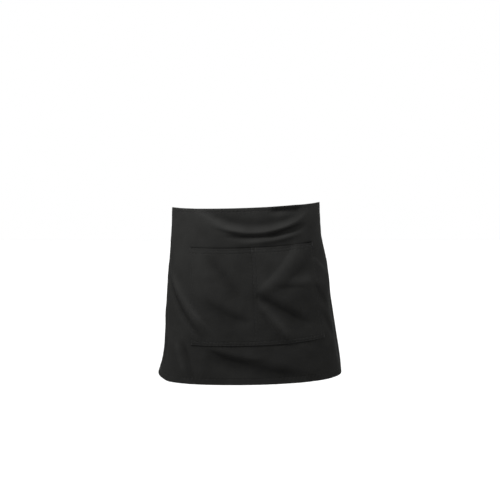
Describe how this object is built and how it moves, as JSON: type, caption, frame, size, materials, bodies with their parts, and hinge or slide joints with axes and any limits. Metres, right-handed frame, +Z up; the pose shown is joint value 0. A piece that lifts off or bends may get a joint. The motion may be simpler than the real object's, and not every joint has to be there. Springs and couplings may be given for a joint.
{
  "type": "waist apron",
  "caption": "Short plain waist apron in black twill, shown as worn, with a patch pocket in two compartments and flat ties knotted at the back.",
  "frame": {"origin": "the middle of the waist opening, level with the front of the apron's top edge", "axes": "+Z up, the front of the apron faces -Y, +X to the right as seen from the front"},
  "size_m": [0.4363, 0.2766, 0.4129],
  "materials": {
    "twill": "matt black polyester and cotton twill, slightly faded along its folds and hems",
    "tape": "the same twill folded lengthways and sewn flat into tape"
  },
  "bodies": {
    "root": {"apron_panel": "twill", "pocket": "twill", "tie_left": "tape", "tie_right": "tape", "tie_knot": "tape"}
  },
  "joints": []
}
